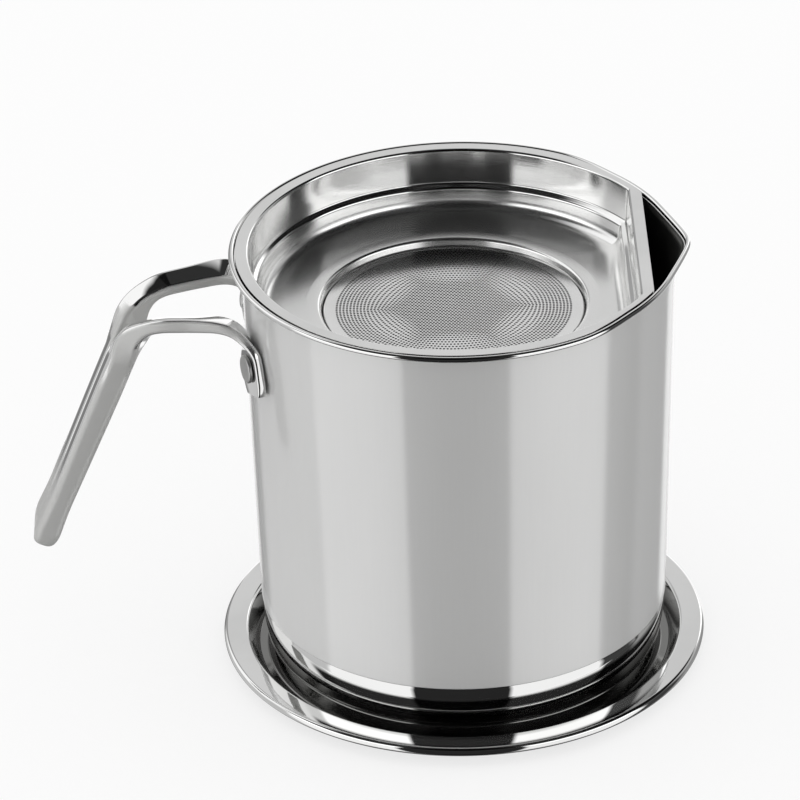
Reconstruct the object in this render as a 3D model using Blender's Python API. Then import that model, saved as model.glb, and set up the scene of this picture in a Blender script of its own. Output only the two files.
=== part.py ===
"""Grease keeper: a steel pot with a pouring beak and a two-legged side handle,
a drop-in strainer with a perforated disc, and the tray that the pot stands on.

Metres, +Z up. The origin is the centre of the tray's flat underside.
The beak points along +X and the handle along -X.
"""
import math

import bmesh
import bpy
from mathutils import Matrix, Vector

MM = 0.001

# Counts
ROUND_SEGMENTS = 60
CORNER_STEPS = 3
BEND_STEPS = 7
GRIP_STEPS = 6
CHORD_STEPS = 8
CHORD_CORNER_STEPS = 5
BAR_CORNER_STEPS = 2
HOLE_SEGMENTS = 6
RIVET_SEGMENTS = 20

# Sheet and running gaps
SHEET = 0.6 * MM
SEAT_GAP = 0.3 * MM
CUT_OVERRUN = 2.0 * MM

# Pot
POT_RADIUS = 67.4 * MM
POT_HEIGHT = 137.5 * MM
POT_TAPER = 2.5 * MM
POT_STRAIGHT_TOP = 15.0 * MM
BAND_HEIGHT = 15.4 * MM
BAND_STEP = 0.9 * MM
FOOT_FILLET = 2.5 * MM
RIM_WIDTH = 4.1 * MM
RIM_ROLL = 1.8 * MM
NECK_FILLET = 1.5 * MM

# Pouring beak
BEAK_REACH = 4.6 * MM
BEAK_DEPTH = 12.0 * MM
BEAK_TIP_ROUNDING = math.radians(3.4)
BEAK_RING_SHARES = (1.0, 0.7, 0.45)
RIM_NARROWING = 1.9 * MM
RIM_FADE_START = math.radians(40)
RIM_FADE_END = math.radians(60)

# Strainer
STRAINER_RIM_WIDTH = 4.2 * MM
STRAINER_CHORD_INSET = 10.1 * MM
STRAINER_CORNER = 7.0 * MM
CORNER_LEAST_SHARE = 0.3
STRAINER_FOLD = 1.0 * MM
UPPER_WALL_DEPTH = 12.0 * MM
WALL_DRAFT = 0.2 * MM
STEP_WIDTH = 2.4 * MM
STEP_DROP = 1.6 * MM
STEP_SHARES = ((0.0, -1.0), (0.2, -0.4), (0.8, -0.15), (1.0, 0.4))
BASIN_DEPTH = 19.5 * MM
BASIN_FILLET = 4.0 * MM
FLOOR_SHIFT = 1.5 * MM
SHOULDER_RADIUS = 45.0 * MM
SHOULDER_WIDTH = 4.0 * MM
SHOULDER_DROP = 2.8 * MM
SHOULDER_SHARES = (0.35, 0.7)
DISC_MARGIN = 3.3 * MM
DISC_LEDGE = 2.6 * MM
HOLE_RADIUS = 1.2 * MM
HOLE_PITCH = 6.6 * MM

# Tray
TRAY_HEIGHT = 7.0 * MM
TRAY_GUTTER = 3.2 * MM
TRAY_WALL_RUN = 3.4 * MM
TRAY_RIM_WIDTH = 7.7 * MM
TRAY_EDGE_DROP = 3.0 * MM
SEAT_DROP = 1.3 * MM
SEAT_WIDTH = 8.0 * MM
SEAT_SLOPE_RUN = 1.6 * MM

# Handle, with heights counted down from the pot's rim and reaches out from its wall
GRIP_WIDTH = 20.0 * MM
GRIP_DEPTH = 8.6 * MM
GRIP_WAIST_DEPTH = 7.0 * MM
GRIP_END_DEPTH = 8.4 * MM
GRIP_FLARE_LENGTH = 18.0 * MM
GRIP_GROOVE = 1.3 * MM
GRIP_END_DROP = 99.7 * MM
GRIP_END_REACH = 66.6 * MM
GRIP_TOP_DROP = 34.0 * MM
GRIP_TONGUE = 7.0 * MM
GRIP_TONGUE_SHARES = (0.0, 0.08, 0.25, 0.5, 0.75)
GRIP_END_WIDTH_SHARE = 0.68
GRIP_END_DEPTH_SHARE = 0.8
GROOVE_HALF_SHARE = 0.35
GROOVE_LIP_SHARE = 0.1
BEND_DROP = 18.3 * MM
BEND_REACH = 32.4 * MM
BEND_SPREAD = 11.7 * MM
BEND_TRIM = 12.0 * MM
BEND_DEPTH_SHARE = 0.25
LEG_WIDTH = 9.2 * MM
LEG_THICKNESS = 4.8 * MM
LEG_TILT = math.radians(18)
LEG_MIDDLE_SHARE = 0.5
LEG_ROOT = 7.0 * MM
LEG_ROOT_INSET = 0.15 * MM
BAR_CORNER = 1.0 * MM
BAR_CORNER_SHARE = 0.45
TAB_ANGLE = math.radians(19.7)
TAB_LEAN = math.radians(18)
TAB_TOP_DROP = 14.9 * MM
TAB_TRIM = 12.0 * MM
TAB_WIDTH = 14.0 * MM
TAB_THICKNESS = 2.8 * MM
TAB_BELOW_RIVET = 8.6 * MM
TAB_TOP_WIDTH_SHARE = 0.3
TAB_TOP_DEPTH_SHARE = 1.2
TAB_FULL_SHARE = 0.45
TAB_CORNER_SHARE = 0.3
TAB_FLAT_SHARE = 0.2
TAB_END_SHARES = (0.45, 0.25, 0.12, 0.04)

# Rivets
RIVET_DROP = 28.2 * MM
RIVET_SHANK = 2.0 * MM
RIVET_HEAD = 4.5 * MM
RIVET_HEAD_HEIGHT = 1.5 * MM
RIVET_HEAD_SHARES = ((1.0, 0.0), (1.0, 0.35), (0.8, 0.75), (0.45, 0.95), (0.0, 1.0))
RIVET_INNER_HEAD = 3.8 * MM
RIVET_INNER_HEIGHT = 0.8 * MM
RIVET_INNER_SHARES = ((0.0, 1.0), (0.85, 1.0), (1.0, 0.5), (1.0, 0.0))

# Levels and radii that follow from the sizes above
POT_BASE_Z = TRAY_HEIGHT - SEAT_DROP + SEAT_GAP
BAND_TOP_Z = POT_BASE_Z + BAND_HEIGHT
RIM_Z = POT_BASE_Z + POT_HEIGHT
BAND_RADIUS = POT_RADIUS - POT_TAPER
FOOT_RADIUS = BAND_RADIUS - BAND_STEP
FLAT_BASE_RADIUS = FOOT_RADIUS - FOOT_FILLET
SUPPORT_Z = RIM_Z - SHEET - SEAT_GAP
STRAINER_RADIUS = POT_RADIUS + RIM_WIDTH - RIM_ROLL - SEAT_GAP
STRAINER_CHORD = STRAINER_RADIUS - STRAINER_CHORD_INSET
FLOOR_Z = RIM_Z - BASIN_DEPTH
DISC_Z = FLOOR_Z - SHOULDER_DROP
DISC_RADIUS = SHOULDER_RADIUS - SHOULDER_WIDTH - SEAT_GAP
RIVET_Z = RIM_Z - RIVET_DROP


def clear_scene():
    """Remove whatever the scene holds at the start."""
    for item in list(bpy.data.objects):
        bpy.data.objects.remove(item, do_unlink=True)


def steel(name, colour, roughness):
    """A bare steel finish."""
    material = bpy.data.materials.new(name)
    material.use_nodes = True
    shader = material.node_tree.nodes["Principled BSDF"]
    shader.inputs["Base Color"].default_value = (*colour, 1.0)
    shader.inputs["Metallic"].default_value = 1.0
    shader.inputs["Roughness"].default_value = roughness
    return material


def smooth_step(share):
    """Ease from 0 to 1."""
    share = min(max(share, 0.0), 1.0)
    return share * share * (3.0 - 2.0 * share)


def arc(centre_r, centre_z, radius, start, end, steps):
    """Points of a circular arc in a profile, angles in degrees from +R towards +Z."""
    points = []
    for step in range(steps + 1):
        angle = math.radians(start + (end - start) * step / steps)
        points.append((centre_r + radius * math.cos(angle), centre_z + radius * math.sin(angle)))
    return points


def add_object(name, rings, material, closed=False):
    """A solid skin over rings of points; a ring of one point is a pole, an end ring is capped."""
    mesh = bmesh.new()
    rows = [[mesh.verts.new(point) for point in ring] for ring in rings]
    pairs = list(zip(rows, rows[1:]))
    if closed:
        pairs.append((rows[-1], rows[0]))
    for lower, upper in pairs:
        count = max(len(lower), len(upper))
        for index in range(count):
            after = (index + 1) % count
            corners = [lower[index % len(lower)], lower[after % len(lower)]]
            corners += [upper[after % len(upper)], upper[index % len(upper)]]
            mesh.faces.new(list(dict.fromkeys(corners)))
    if not closed:
        for row in (rows[0], rows[-1]):
            if len(row) > 1:
                mesh.faces.new(row)
    bmesh.ops.recalc_face_normals(mesh, faces=mesh.faces)
    data = bpy.data.meshes.new(name)
    mesh.to_mesh(data)
    mesh.free()
    data.materials.append(material)
    data.shade_smooth()
    data.set_sharp_from_angle(angle=math.radians(35))
    item = bpy.data.objects.new(name, data)
    bpy.context.collection.objects.link(item)
    return item


def parent_to(child, parent):
    """Parent a piece and keep its place."""
    child.parent = parent
    child.matrix_parent_inverse = parent.matrix_world.inverted()


def cut(target, cutter, operation="DIFFERENCE"):
    """Apply a live Boolean with a hidden tool object."""
    cutter.hide_render = True
    cutter.display_type = "WIRE"
    modifier = target.modifiers.new(cutter.name, "BOOLEAN")
    modifier.operation = operation
    modifier.solver = "EXACT"
    modifier.object = cutter
    parent_to(cutter, target)


def turned_rings(profile, radius_at=None, centre_x=0.0):
    """Rings about an upright axis for a profile of (radius, height) points."""
    rings = []
    for radius, height in profile:
        if radius == 0:
            rings.append([(centre_x, 0, height)])
            continue
        ring = []
        for index in range(ROUND_SEGMENTS):
            angle = 2.0 * math.pi * index / ROUND_SEGMENTS
            reach = radius_at(radius, height, angle) if radius_at else radius
            ring.append((centre_x + reach * math.cos(angle), reach * math.sin(angle), height))
        rings.append(ring)
    return rings


def body_radius(height):
    """Outer radius of the tapered wall at a height."""
    high = RIM_Z - POT_STRAIGHT_TOP
    share = min(max((high - height) / (high - BAND_TOP_Z), 0.0), 1.0)
    return POT_RADIUS - POT_TAPER * share


def rim_inset(angle):
    """How much narrower the rim is at an angle than round the back."""
    turn = abs(math.remainder(angle, 2.0 * math.pi))
    return RIM_NARROWING * (1.0 - smooth_step((turn - RIM_FADE_START) / (RIM_FADE_END - RIM_FADE_START)))


def pot_radius_at(radius, height, angle):
    """Swell the wall into the beak's two tangent planes and narrow the rim's ledge there."""
    weight = smooth_step((height - RIM_Z + BEAK_DEPTH) / BEAK_DEPTH)
    if weight == 0:
        return radius
    turn = abs(math.remainder(angle, 2.0 * math.pi))
    half_angle = math.acos(POT_RADIUS / (POT_RADIUS + BEAK_REACH))
    soft_turn = math.hypot(turn, BEAK_TIP_ROUNDING)
    swell = POT_RADIUS / math.cos(max(half_angle - soft_turn, 0.0)) - POT_RADIUS
    ledge = RIM_WIDTH - RIM_ROLL
    ledge_share = min(max((radius - POT_RADIUS) / ledge, 0.0), 1.0)
    return radius + weight * swell - rim_inset(angle) * ledge_share


def make_pot(material):
    """Drawn shell: flat foot, polished band, tapered wall, and a ledge that ends in a rolled bead."""
    wall_marks = [RIM_Z - POT_STRAIGHT_TOP]
    wall_marks += [RIM_Z - BEAK_DEPTH * share for share in BEAK_RING_SHARES]
    foot_z = POT_BASE_Z + FOOT_FILLET
    neck_z = SUPPORT_Z - SHEET - NECK_FILLET
    neck_r = POT_RADIUS + NECK_FILLET
    roll = RIM_ROLL / 2.0
    roll_r = POT_RADIUS + RIM_WIDTH - roll
    outer = [(0, POT_BASE_Z)]
    outer += arc(FLAT_BASE_RADIUS, foot_z, FOOT_FILLET, -90, 0, CORNER_STEPS)
    outer.append((FOOT_RADIUS, BAND_TOP_Z - BAND_STEP))
    outer.append((BAND_RADIUS, BAND_TOP_Z))
    outer += [(body_radius(height), height) for height in wall_marks]
    outer += arc(neck_r, neck_z, NECK_FILLET, 180, 90, CORNER_STEPS)
    rolled = arc(roll_r, RIM_Z - roll, roll, -150, 170, 3 * CORNER_STEPS)
    inner = arc(neck_r, neck_z, NECK_FILLET + SHEET, 90, 180, CORNER_STEPS)
    inner += [(body_radius(height) - SHEET, height) for height in reversed(wall_marks)]
    inner.append((BAND_RADIUS - SHEET, BAND_TOP_Z))
    inner.append((FOOT_RADIUS - SHEET, BAND_TOP_Z - BAND_STEP))
    inner += arc(FLAT_BASE_RADIUS, foot_z, FOOT_FILLET - SHEET, 0, -90, CORNER_STEPS)
    inner.append((0, POT_BASE_Z + SHEET))
    return add_object("pot_body", turned_rings(outer + rolled + inner, pot_radius_at), material)


def make_tray(material):
    """Pressed dish: flat rim with a rolled edge, a gutter, and a raised ring that the pot stands on."""
    seat_outer = FLAT_BASE_RADIUS
    seat_inner = seat_outer - SEAT_WIDTH
    slope_out = seat_outer + SEAT_SLOPE_RUN
    slope_in = seat_inner - SEAT_SLOPE_RUN
    seat_z = TRAY_HEIGHT - SEAT_DROP
    wall_foot = slope_out + TRAY_GUTTER
    rim_inner = wall_foot + TRAY_WALL_RUN
    rim_outer = rim_inner + TRAY_RIM_WIDTH
    edge_inner = rim_outer - 2.0 * SHEET
    edge_middle_z = TRAY_HEIGHT - TRAY_EDGE_DROP / 2.0
    rim_under_z = TRAY_HEIGHT - SHEET
    upper = [(0, SHEET), (slope_in, SHEET), (seat_inner, seat_z), (seat_outer, seat_z)]
    upper += [(slope_out, SHEET), (wall_foot, SHEET)]
    upper += [(rim_inner - SHEET, rim_under_z), (rim_inner, TRAY_HEIGHT)]
    edge = arc(rim_outer - SHEET, rim_under_z, SHEET, 90, 0, CORNER_STEPS)
    edge += [(rim_outer, edge_middle_z), (rim_outer - SHEET, TRAY_HEIGHT - TRAY_EDGE_DROP)]
    edge += [(edge_inner, edge_middle_z), (edge_inner, rim_under_z)]
    lower = [(rim_inner, rim_under_z), (wall_foot + SHEET, 0), (slope_out - SHEET, 0)]
    lower += [(seat_outer - SHEET, seat_z - SHEET), (seat_inner + SHEET, seat_z - SHEET)]
    lower += [(slope_in + SHEET, 0), (0, 0)]
    return add_object("tray", turned_rings(upper + edge + lower), material)


def trim_to_rim(x, y, reach, flange_share):
    """Draw a flange point in where the pot's ledge narrows towards the beak."""
    limit = reach - rim_inset(math.atan2(y, x)) * flange_share
    shrink = min(limit / math.hypot(x, y), 1.0)
    return x * shrink, y * shrink


def strainer_outline(reach):
    """Ring in plan at a reach from the axis: a circle cut by a chord with round corners."""
    inset = STRAINER_RADIUS - reach
    chord = STRAINER_CHORD - inset
    corner = max(STRAINER_CORNER - inset, STRAINER_CORNER * CORNER_LEAST_SHARE)
    centre_x = chord - corner
    centre_y = math.sqrt((reach - corner) ** 2 - centre_x ** 2)
    alpha = math.atan2(centre_y, centre_x)
    arc_steps = ROUND_SEGMENTS - 2 * CHORD_CORNER_STEPS - CHORD_STEPS
    points = []
    for step in range(CHORD_STEPS):
        points.append((chord, centre_y * (2.0 * step / CHORD_STEPS - 1.0)))
    for step in range(CHORD_CORNER_STEPS):
        angle = alpha * step / CHORD_CORNER_STEPS
        points.append((centre_x + corner * math.cos(angle), centre_y + corner * math.sin(angle)))
    for step in range(arc_steps + 1):
        angle = alpha + (2.0 * math.pi - 2.0 * alpha) * step / arc_steps
        points.append((reach * math.cos(angle), reach * math.sin(angle)))
    for step in range(1, CHORD_CORNER_STEPS):
        angle = -alpha * (1.0 - step / CHORD_CORNER_STEPS)
        points.append((centre_x + corner * math.cos(angle), corner * math.sin(angle) - centre_y))
    flange_share = min(max(1.0 - inset / STRAINER_RIM_WIDTH, 0.0), 1.0)
    return [trim_to_rim(x, y, reach, flange_share) for x, y in points]


def strainer_ring(reach, height, edge_reach):
    """One ring of the strainer: the cut outline outside, easing to the shoulder's own circle inside."""
    weight = smooth_step((reach - SHOULDER_RADIUS) / (edge_reach - SHOULDER_RADIUS))
    shift = FLOOR_SHIFT * (1.0 - weight)
    ring = []
    for x, y in strainer_outline(max(reach, edge_reach)):
        angle = math.atan2(y, x)
        radius = math.hypot(x, y) * weight + reach * (1.0 - weight)
        ring.append((radius * math.cos(angle) - shift, radius * math.sin(angle), height))
    return ring


def offset_profile(profile, thickness):
    """The profile moved by a thickness to the side that faces down and out."""
    moved = []
    for index, (reach, height) in enumerate(profile):
        before = profile[max(index - 1, 0)]
        after = profile[min(index + 1, len(profile) - 1)]
        run = Vector((after[0] - before[0], after[1] - before[1])).normalized()
        moved.append((reach + run.y * thickness, height - run.x * thickness))
    return moved


def make_strainer_shell(material):
    """Drawn basin with a stepped wall, a flat rim, and a sunk ledge round its open middle."""
    top = SUPPORT_Z + SEAT_GAP + SHEET
    wall = STRAINER_RADIUS - STRAINER_RIM_WIDTH
    lower_wall = wall - WALL_DRAFT - STEP_WIDTH
    ledge_r = SHOULDER_RADIUS - SHOULDER_WIDTH
    floor_edge = lower_wall - BASIN_FILLET
    step_z = RIM_Z - UPPER_WALL_DEPTH
    ledge_z = DISC_Z - SEAT_GAP
    across, up = SHOULDER_SHARES
    profile = [(DISC_RADIUS - DISC_LEDGE, ledge_z), (ledge_r, ledge_z)]
    profile.append((ledge_r + SHOULDER_WIDTH * across, ledge_z + (FLOOR_Z - ledge_z) * up))
    profile.append((SHOULDER_RADIUS, FLOOR_Z))
    profile += arc(floor_edge, FLOOR_Z + BASIN_FILLET, BASIN_FILLET, -90, 0, CORNER_STEPS)
    profile += [(lower_wall + STEP_WIDTH * out, step_z + STEP_DROP * rise) for out, rise in STEP_SHARES]
    profile += arc(wall + STRAINER_FOLD, top - STRAINER_FOLD, STRAINER_FOLD, 180, 90, CORNER_STEPS)
    profile.append((STRAINER_RADIUS, top))
    under = offset_profile(profile, SHEET)
    rings = [strainer_ring(reach, height, floor_edge) for reach, height in profile + under[::-1]]
    return add_object("strainer_shell", rings, material, closed=True)


def make_disc_holes():
    """Staggered rows of pins, all in one tool object, that stop short of the disc's plain margin."""
    reach = DISC_RADIUS - DISC_MARGIN - HOLE_RADIUS
    rows = int(reach / HOLE_PITCH) + 1
    depth = SHEET + 2.0 * CUT_OVERRUN
    holes = bmesh.new()
    for row in range(-rows, rows + 1):
        for column in range(-rows, rows + 1):
            x = (column + (row % 2) / 2.0) * HOLE_PITCH
            y = row * HOLE_PITCH * math.sin(math.radians(60))
            if math.hypot(x, y) > reach:
                continue
            place = Matrix.Translation((x - FLOOR_SHIFT, y, DISC_Z + SHEET / 2.0))
            bmesh.ops.create_cone(holes, cap_ends=True, segments=HOLE_SEGMENTS, radius1=HOLE_RADIUS,
                                  radius2=HOLE_RADIUS, depth=depth, matrix=place)
    data = bpy.data.meshes.new("disc_holes")
    holes.to_mesh(data)
    holes.free()
    cutter = bpy.data.objects.new("disc_holes", data)
    bpy.context.collection.objects.link(cutter)
    return cutter


def make_strainer_disc(material):
    """Flat perforated disc that lies on the shell's ledge."""
    top = DISC_Z + SHEET
    profile = [(0, DISC_Z), (DISC_RADIUS, DISC_Z), (DISC_RADIUS, top), (0, top)]
    disc = add_object("strainer_disc", turned_rings(profile, centre_x=-FLOOR_SHIFT), material)
    cut(disc, make_disc_holes())
    return disc


def section(centre, side, normal, width, depth, groove=0.0):
    """Rounded bar section; a groove sinks the middle of its outer face."""
    corner = min(BAR_CORNER, BAR_CORNER_SHARE * depth, BAR_CORNER_SHARE * width)
    half_w = width / 2.0 - corner
    half_d = depth / 2.0 - corner
    face = depth / 2.0
    lip = half_w * GROOVE_HALF_SHARE
    flat = []
    for sign_w, sign_d, start in ((1, 1, 0), (-1, 1, 90), (-1, -1, 180), (1, -1, 270)):
        flat += arc(sign_w * half_w, sign_d * half_d, corner, start, start + 90, BAR_CORNER_STEPS)
        if start == 0:
            flat += [(lip, face - groove * GROOVE_LIP_SHARE), (0, face - groove)]
            flat.append((-lip, face - groove * GROOVE_LIP_SHARE))
    return [centre + side * across + normal * out for across, out in flat]


def handle_points():
    """Corner points of one leg's centre line, on the -Y side: grip end, bend, wall corner, tab end."""
    wall = body_radius(RIVET_Z) + SEAT_GAP + TAB_THICKNESS / 2.0
    rivet = Vector((-wall * math.cos(TAB_ANGLE), -wall * math.sin(TAB_ANGLE), RIVET_Z))
    sideways = Vector((math.sin(TAB_ANGLE), -math.cos(TAB_ANGLE), 0))
    down = sideways * math.sin(TAB_LEAN) - Vector((0, 0, math.cos(TAB_LEAN)))
    end = Vector((-POT_RADIUS - GRIP_END_REACH, 0, RIM_Z - GRIP_END_DROP))
    bend = Vector((-POT_RADIUS - BEND_REACH, -BEND_SPREAD, RIM_Z - BEND_DROP))
    corner = rivet - down * (RIVET_DROP - TAB_TOP_DROP) / math.cos(TAB_LEAN)
    tab_end = rivet + down * TAB_BELOW_RIVET
    return end, bend, corner, tab_end


def grip_axis():
    """Grip end, its upward direction and the point where the legs part."""
    end, bend, _, _ = handle_points()
    upward = (Vector((bend.x, 0, bend.z)) - end).normalized()
    length = (RIM_Z - GRIP_TOP_DROP - end.z) / upward.z
    return end, upward, end + upward * length


def make_grip(material):
    """Tongue of the handle, where both legs lie side by side with a groove between them."""
    end, upward, top = grip_axis()
    side = Vector((0, 1, 0))
    normal = upward.cross(side)
    length = (top - end).length
    places = [GRIP_TONGUE * share for share in GRIP_TONGUE_SHARES]
    places += [GRIP_TONGUE + (length - GRIP_TONGUE) * step / GRIP_STEPS for step in range(GRIP_STEPS + 1)]
    rings = []
    for place in places:
        left = 1.0 - min(place / GRIP_TONGUE, 1.0)
        rounding = 1.0 - math.sqrt(1.0 - left * left)
        flare = 1.0 - smooth_step(place / GRIP_FLARE_LENGTH)
        swell = smooth_step((place - GRIP_FLARE_LENGTH) / (length - GRIP_FLARE_LENGTH))
        depth = GRIP_WAIST_DEPTH + (GRIP_END_DEPTH - GRIP_WAIST_DEPTH) * flare
        depth += (GRIP_DEPTH - GRIP_WAIST_DEPTH) * swell
        depth *= 1.0 - (1.0 - GRIP_END_DEPTH_SHARE) * rounding
        width = GRIP_WIDTH * (1.0 - (1.0 - GRIP_END_WIDTH_SHARE) * rounding)
        groove = GRIP_GROOVE * smooth_step((place - GRIP_TONGUE) / GRIP_FLARE_LENGTH)
        rings.append(section(end + upward * place, side, normal, width, depth, groove))
    return add_object("handle", rings, material)


def curve_through(points, trims):
    """Straight runs joined by parabolic bends at the inner points."""
    path = [points[0]]
    for index, trim in enumerate(trims, start=1):
        middle = points[index]
        start = middle + (points[index - 1] - middle).normalized() * trim
        finish = middle + (points[index + 1] - middle).normalized() * trim
        for step in range(BEND_STEPS + 1):
            share = step / BEND_STEPS
            path.append(start.lerp(middle, share).lerp(middle.lerp(finish, share), share))
    path.append(points[-1])
    return path


def path_lengths(points):
    """Distance along a path at each of its points."""
    lengths = [0.0]
    for before, after in zip(points, points[1:]):
        lengths.append(lengths[-1] + (after - before).length)
    return lengths


def leg_knots():
    """Points, side directions, widths and depths that a leg's section passes through."""
    _, bend, corner, tab_end = handle_points()
    _, upward, grip_top = grip_axis()
    half = GRIP_WIDTH / 2.0
    root_w = half - 2.0 * LEG_ROOT_INSET
    root_d = GRIP_DEPTH - 4.0 * LEG_ROOT_INSET
    fork = grip_top - Vector((0, half / 2.0, 0))
    start = fork - upward * LEG_ROOT
    toward_mid = Vector((0, 1, 0))
    along = (corner - bend).normalized()
    level = Vector((-along.y, along.x, 0)).normalized()
    tilted = level * math.cos(LEG_TILT) - Vector((0, 0, math.sin(LEG_TILT)))
    round_wall = Vector((-math.sin(TAB_ANGLE), math.cos(TAB_ANGLE), 0))
    bend_depth = LEG_THICKNESS + (root_d - LEG_THICKNESS) * BEND_DEPTH_SHARE
    top_width = LEG_WIDTH + (TAB_WIDTH - LEG_WIDTH) * TAB_TOP_WIDTH_SHARE
    knots = [(start, toward_mid, root_w, root_d), (fork, toward_mid, root_w, root_d)]
    knots.append((bend, tilted, LEG_WIDTH, bend_depth))
    knots.append((bend.lerp(corner, LEG_MIDDLE_SHARE), tilted, LEG_WIDTH, LEG_THICKNESS))
    knots.append((corner, round_wall, top_width, TAB_THICKNESS * TAB_TOP_DEPTH_SHARE))
    knots.append((corner.lerp(tab_end, TAB_FULL_SHARE), round_wall, TAB_WIDTH, TAB_THICKNESS))
    knots.append((tab_end, round_wall, TAB_WIDTH, TAB_THICKNESS))
    return knots


def make_leg(name, hand, material):
    """One leg, swept from inside the grip over the bend and down the wall to its riveted tab."""
    knots = leg_knots()
    start, fork, bend = [knot[0] for knot in knots[:3]]
    _, _, corner, tab_end = handle_points()
    fork_trim = LEG_ROOT / 2.0
    bend_trim = min(BEND_TRIM, (fork - bend).length - fork_trim)
    path = curve_through([start, fork, bend, corner, tab_end], [fork_trim, bend_trim, TAB_TRIM])
    path[-1:] = [tab_end.lerp(path[-2], share) for share in TAB_END_SHARES] + [tab_end]
    lengths = path_lengths(path)
    marks = path_lengths([knot[0] for knot in knots])
    tab_corner = TAB_WIDTH * TAB_CORNER_SHARE
    rings = []
    for index, point in enumerate(path):
        mark = lengths[index] * marks[-1] / lengths[-1]
        span = sum(1 for passed in marks[1:-1] if passed < mark)
        share = smooth_step((mark - marks[span]) / (marks[span + 1] - marks[span]))
        _, low_side, low_width, low_depth = knots[span]
        _, high_side, high_width, high_depth = knots[span + 1]
        width = low_width + (high_width - low_width) * share
        depth = low_depth + (high_depth - low_depth) * share
        left = 1.0 - min((lengths[-1] - lengths[index]) / tab_corner, 1.0)
        left *= 1.0 - TAB_FLAT_SHARE * left
        width -= 2.0 * tab_corner * (1.0 - math.sqrt(1.0 - left * left))
        ahead = path[min(index + 1, len(path) - 1)]
        tangent = (ahead - path[max(index - 1, 0)]).normalized()
        side = low_side.lerp(high_side, share)
        side = (side - tangent * side.dot(tangent)).normalized()
        ring = section(point, side, tangent.cross(side), width, depth)
        rings.append([Vector((p.x, p.y * hand, p.z)) for p in ring])
    return add_object(name, rings, material)


def round_piece(name, profile, hand, material):
    """A small turned piece on a rivet's line, its profile counted outward from the pot's axis."""
    place = Matrix.Translation((0, 0, RIVET_Z))
    turn = Matrix.Rotation(math.pi + hand * TAB_ANGLE, 4, "Z")
    tip = Matrix.Rotation(math.pi / 2.0, 4, "Y")
    frame = place @ turn @ tip
    rings = []
    for radius, height in profile:
        if radius == 0:
            rings.append([frame @ Vector((0, 0, height))])
            continue
        ring = []
        for index in range(RIVET_SEGMENTS):
            angle = 2.0 * math.pi * index / RIVET_SEGMENTS
            ring.append(frame @ Vector((radius * math.cos(angle), radius * math.sin(angle), height)))
        rings.append(ring)
    return add_object(name, rings, material)


def make_rivet(name, hand, material):
    """Rivet with a domed head on the tab and a flat head inside the pot."""
    wall = body_radius(RIVET_Z)
    outer = wall + SEAT_GAP + TAB_THICKNESS + SEAT_GAP
    inner = wall - SHEET - SEAT_GAP
    profile = [(RIVET_INNER_HEAD * out, inner - RIVET_INNER_HEIGHT * deep) for out, deep in RIVET_INNER_SHARES]
    profile += [(RIVET_SHANK, inner), (RIVET_SHANK, outer)]
    profile += [(RIVET_HEAD * out, outer + RIVET_HEAD_HEIGHT * rise) for out, rise in RIVET_HEAD_SHARES]
    return round_piece(name, profile, hand, material)


def clear_for_rivet(name, hand, target):
    """Open a piece for a rivet's shank."""
    wall = body_radius(RIVET_Z)
    low = wall - SHEET - CUT_OVERRUN
    high = wall + SEAT_GAP + TAB_THICKNESS + CUT_OVERRUN
    radius = RIVET_SHANK + SEAT_GAP
    profile = [(0, low), (radius, low), (radius, high), (0, high)]
    cut(target, round_piece(name, profile, hand, target.data.materials[0]))


def build():
    """Put the object together; a piece that lifts off hangs from an empty on its axis."""
    clear_scene()
    satin = steel("satin_steel", (0.62, 0.62, 0.61), 0.28)
    mirror = steel("mirror_steel", (0.66, 0.66, 0.66), 0.08)
    perforated = steel("perforated_steel", (0.50, 0.49, 0.48), 0.22)
    tray = make_tray(mirror)
    pot_axis = bpy.data.objects.new("pot_axis", None)
    strainer_axis = bpy.data.objects.new("strainer_axis", None)
    for axis, height in ((pot_axis, POT_BASE_Z), (strainer_axis, RIM_Z)):
        bpy.context.collection.objects.link(axis)
        axis.location = (0, 0, height)
    bpy.context.view_layer.update()
    parent_to(pot_axis, tray)
    parent_to(strainer_axis, pot_axis)
    pot = make_pot(satin)
    handle = make_grip(mirror)
    for name, hand in (("leg_front", 1), ("leg_back", -1)):
        cut(handle, make_leg(name, hand, mirror), "UNION")
    pieces = [(pot, pot_axis), (handle, pot_axis)]
    pieces.append((make_strainer_shell(mirror), strainer_axis))
    pieces.append((make_strainer_disc(perforated), strainer_axis))
    for name, hand in (("rivet_front", 1), ("rivet_back", -1)):
        clear_for_rivet(name + "_pot_hole", hand, pot)
        clear_for_rivet(name + "_tab_hole", hand, handle)
        pieces.append((make_rivet(name, hand, mirror), pot_axis))
    for piece, axis in pieces:
        parent_to(piece, axis)


build()
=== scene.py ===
"""Looks for the grease keeper: tray, pot, riveted handle, drop-in strainer and its perforated disc."""
import math

import bmesh
import bpy
import numpy as np
from mathutils import Matrix


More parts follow.
